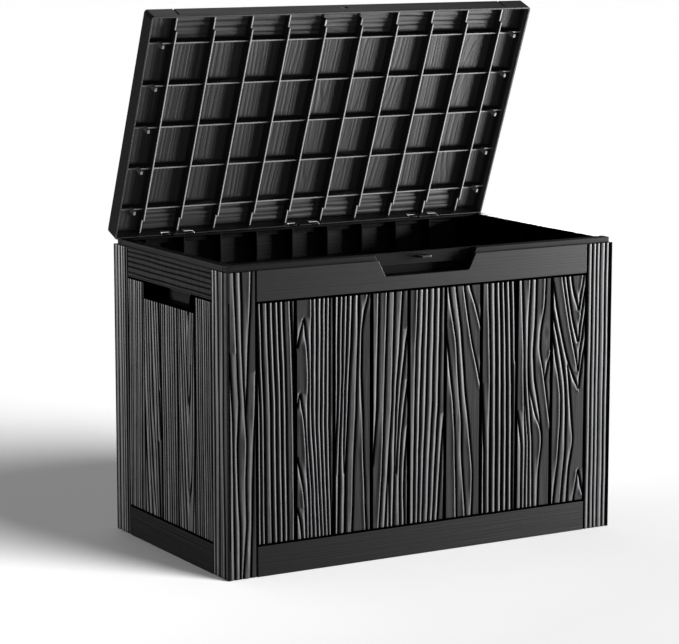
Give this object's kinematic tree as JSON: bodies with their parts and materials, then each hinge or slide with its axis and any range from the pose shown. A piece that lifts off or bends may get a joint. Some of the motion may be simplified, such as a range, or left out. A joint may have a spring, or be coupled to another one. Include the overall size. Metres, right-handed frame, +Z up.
{
  "type": "storage bench",
  "caption": "Outdoor storage bench in wood-grain moulded resin: a rectangular box with planked walls, finger grips and a flat hinged seat lid standing open",
  "frame": {"origin": "on the ground, under the centre of the box, at the centre of the floor's foot pad", "axes": "+X right along the front, as seen facing it; +Y from front to back; +Z up"},
  "size_m": [0.67, 0.3935, 0.8081],
  "materials": {
    "black_resin": "black injection-moulded resin with a low sheen and moulded wood grain",
    "steel": "zinc-plated steel",
    "bush_plastic": "natural acetal"
  },
  "bodies": {
    "body": {"front_panel": "black_resin", "back_panel": "black_resin", "left_panel": "black_resin", "right_panel": "black_resin", "base_panel": "black_resin", "padlock_eye": "black_resin", "hinge_pin_left": "steel", "hinge_pin_centre": "steel", "hinge_pin_right": "steel", "front_left_screws": "steel", "front_right_screws": "steel", "back_left_screws": "steel", "back_right_screws": "steel", "base_screws": "steel"},
    "lid": {"lid_panel": "black_resin", "hinge_bush_left": "bush_plastic", "hinge_bush_centre": "bush_plastic", "hinge_bush_right": "bush_plastic"}
  },
  "joints": [
    {"name": "lid_hinge", "type": "hinge", "parent": "body", "child": "lid", "pos_m": [0, 0.188, 0.4532], "axis": [-1, 0, 0], "range_deg": [-68, 27]}
  ]
}
